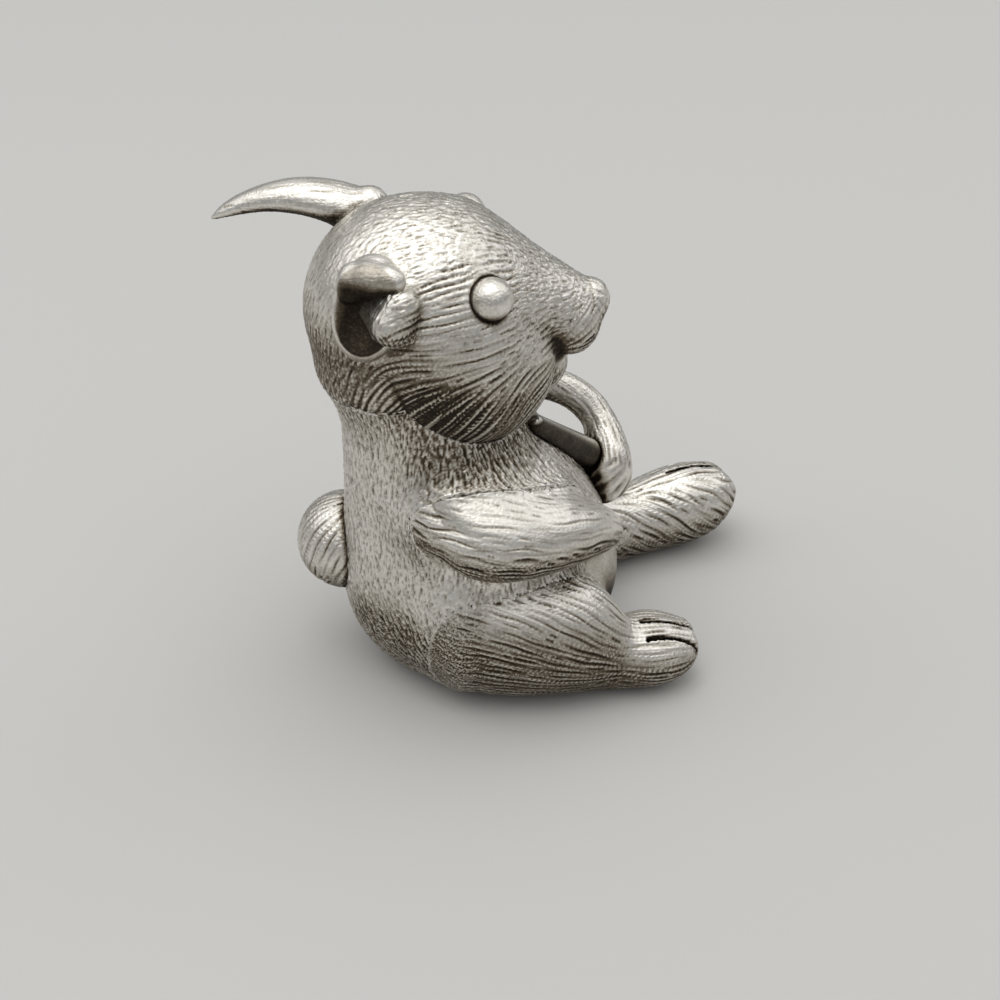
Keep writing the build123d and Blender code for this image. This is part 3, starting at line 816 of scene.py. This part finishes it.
arm = from_solid("right_arm", quad=0.068)
arm.soften(4)
arm.flow_into("torso", ARM_FLOW, arm_side(arm.points))
pit = smooth_step(ball(arm.points, PAW_PIT, PAW_PIT_RADIUS), 0.25, -0.05)
arm.raise_skin(-PAW_PIT_DEPTH * pit)
arm.soften(2)
arm.settle()
arm_way = along_line(arm.points, RIGHT_ARM_LINE)
low = smooth_step(arm.points[:, 2] + ARM_SLOPE * arm.points[:, 0], 13.8, 12.4)
arm.streak(arm_way, doublings=6, depth=0.016, seed=50, where=0.4 + 0.6 * low)
arm.comb(arm_way, spacing=0.42, length=5.0, depth=0.12, width=0.17, seed=56, where=0.5 * low, wave=0.2)
fine_fur = 0.35 + 0.5 * low
arm.comb(arm_way, spacing=0.34, length=3.0, depth=0.05, width=0.13, seed=51, where=fine_fur, wave=0.1)
# Painted shade in the crease along the belly and in the paw pit.
arm_crease_shade = arm.seam_with(["torso"]) * (1 - arm_side(arm.points))
arm.place(arm.tarnish_and_shade(seed=52, painted_shade=0.7 * np.maximum(arm_crease_shade, pit), underside=(0.35, -0.3)))

arm = from_solid("left_arm", quad=0.065)
arm.soften(4)
arm.settle()
arm_way = along_line(arm.points, LEFT_ARM_LINE)
fist = smooth_step(ball(arm.points, FIST, FIST_RADIUS), 0.3, -0.1)
arm.streak(arm_way, doublings=4, depth=0.016, seed=52, where=1 - fist)
arm.comb(arm_way, spacing=0.32, length=2.5, depth=0.06, width=0.14, seed=53, where=1 - fist, wave=0.1)
fingers = FINGER_WAY * np.ones((arm.count, 1))
arm.comb(fingers, spacing=0.6, length=3.0, depth=0.2, width=0.3, seed=55, where=(fist > 0.5) * 1.0)
# Painted shade where the arm meets the chest and the stick.
arm.place(arm.tarnish_and_shade(seed=54, painted_shade=0.6 * arm.seam_with(["torso", "held_stick"])))

# Legs: two pewter castings, each a thigh and a long foot with slits between its toes.
# Hairs run down each thigh to the ankle and along the foot.
# They are soldered to the rump on pegs.
RIGHT_LEG_LINE = ((5.6, -5.4, 3.2), (7.4, -5.3, 2.4), (9.2, -5.1, 2.2), (12.5, -4.7, 2.25))
LEFT_LEG_LINE = ((-1.8, 3.5, 3.3), (4, 5.6, 3.3), (8, 6.8, 2.8), (13, 8.4, 2.6), (17.9, 9.3, 4.0))
SOLE_HEIGHT = 0.2


def leg_casting(node, quad):
    """A leg run into the rump, ready for its fur."""
    leg = from_solid(node, quad)
    leg.soften(3)
    leg.flow_into("torso", LEG_FLOW, leg_flow(leg.points))
    leg.soften(2)
    leg.settle()
    return leg


leg = leg_casting("right_leg", quad=0.07)
x, _, z = leg.points.T
foot = smooth_step(x, 6.5, 8.0)[:, None]
leg_way = unit(ANKLE - leg.points) * (1 - foot) + along_line(leg.points, RIGHT_LEG_LINE) * foot
furry = (z > SOLE_HEIGHT) * 1.0
ahead = smooth_step(x, -2.5, 0.5)
leg.streak(leg_way, doublings=6, depth=0.018, seed=60, where=furry * ahead)
leg.streak(leg_way, doublings=2, depth=0.03, seed=66, where=furry * (1 - ahead))
leg.comb(leg_way, spacing=0.32, length=4.5, depth=0.09, width=0.15, seed=61, where=furry * ahead, wave=0.08)
leg.place(leg.tarnish_and_shade(seed=62, underside=(0.6, -0.05)))

leg = leg_casting("left_leg", quad=0.075)
furry = (leg.points[:, 2] > SOLE_HEIGHT) * 1.0
inner = smooth_step(leg.outward[:, 1], -0.2, -0.6)[:, None]
leg_way = along_line(leg.points, LEFT_LEG_LINE) * (1 - inner) + np.array((0.8, 0.1, -0.7)) * inner
leg.streak(leg_way, doublings=5, depth=0.018, seed=63, where=furry)
leg.comb(leg_way, spacing=0.4, length=4.0, depth=0.11, width=0.2, seed=64, where=furry, wave=0.15)
leg.place(leg.tarnish_and_shade(seed=65, underside=(0.4, -0.3)))

# Tail: a round pewter puff soldered low on the back.
# Its hairs fan out from the top, where it joins the back.
TAIL_TOP = np.array((-6.0, 1.5, 11.5))
tail = from_solid("tail", quad=0.065)
tail.soften(4)
tail.settle()
tail.streak(tail.points - TAIL_TOP, doublings=6, depth=0.02, seed=70)
tail.comb(tail.points - TAIL_TOP, spacing=0.33, length=5.0, depth=0.09, width=0.15, seed=71, wave=0.1)
# Painted shade where the tail meets the back.
tail.place(tail.tarnish_and_shade(seed=72, painted_shade=0.7 * tail.seam_with(["torso"])))

# Stick: a smooth tapered rod of dark pewter, held in the left paw and leaning on the chest.
# Its upper side is kept a little brighter as a painted highlight, and the rest is darkened as painted
# shade.
DARK = (0.4, 0.39, 0.36, 1)
dark_pewter = pewter_finish("dark_pewter", DARK, rough=0.12)
stick = from_solid("held_stick", quad=0.07)
stick.soften(4)
stick.settle()
# Painted highlight on the upward-facing side, painted shade on the sides and underside.
low = smooth_step(stick.outward[:, 2], 0.68, 0.4)
stick.place(0.1 + 0.85 * low, "dark_pewter", dark_pewter)

# Table top and light: a pale floor and three large soft lamps, one overhead and one on each side.
# The room round them is dim at the level of the table and bright overhead.
FLOOR = (0.58, 0.575, 0.565, 1)
FLOOR_ROUGHNESS = 0.9
FLOOR_HALF = 900.0
ground = bmesh.new()
bmesh.ops.create_grid(ground, x_segments=1, y_segments=1, size=FLOOR_HALF * MM)
floor_mesh = bpy.data.meshes.new("floor")
ground.to_mesh(floor_mesh)
ground.free()
floor = bpy.data.objects.new("floor", floor_mesh)
scene.collection.objects.link(floor)
floor_paint = bpy.data.materials.new("floor")
floor_paint.use_nodes = True
floor_shader = floor_paint.node_tree.nodes["Principled BSDF"]
floor_shader.inputs["Base Color"].default_value = FLOOR
floor_shader.inputs["Roughness"].default_value = FLOOR_ROUGHNESS
floor_mesh.materials.append(floor_paint)
FIGURE_MIDDLE = Vector((0, 0, 14))


def soft_lamp(name, place, size, power):
    """A square soft lamp turned towards the figure, in millimetres and watts."""
    lamp = bpy.data.lights.new(name, "AREA")
    lamp.size = size * MM
    lamp.energy = power
    made = bpy.data.objects.new(name, lamp)
    scene.collection.objects.link(made)
    made.location = Vector(place) * MM
    made.rotation_euler = (FIGURE_MIDDLE - Vector(place)).to_track_quat("-Z", "Y").to_euler()


soft_lamp("overhead", (-30, -10, 260), size=260, power=0.2)
soft_lamp("left", (-200, 40, 150), size=160, power=0.05)
soft_lamp("right", (200, 60, 140), size=160, power=0.05)
world = bpy.data.worlds.new("room")
world.use_nodes = True
nodes, links = world.node_tree.nodes, world.node_tree.links
outlook = nodes.new("ShaderNodeTexCoord")
height = nodes.new("ShaderNodeSeparateXYZ")
links.new(outlook.outputs["Generated"], height.inputs["Vector"])
dome = nodes.new("ShaderNodeValToRGB")
stops = dome.color_ramp.elements
stops[0].color = (0.16, 0.16, 0.165, 1)
stops[1].color = (1.0, 1.0, 0.98, 1)
stops.new(0.3).color = (0.28, 0.28, 0.28, 1)
stops.new(0.55).color = (0.65, 0.65, 0.64, 1)
links.new(height.outputs["Z"], dome.inputs["Fac"])
links.new(dome.outputs["Color"], nodes["Background"].inputs["Color"])
scene.world = world
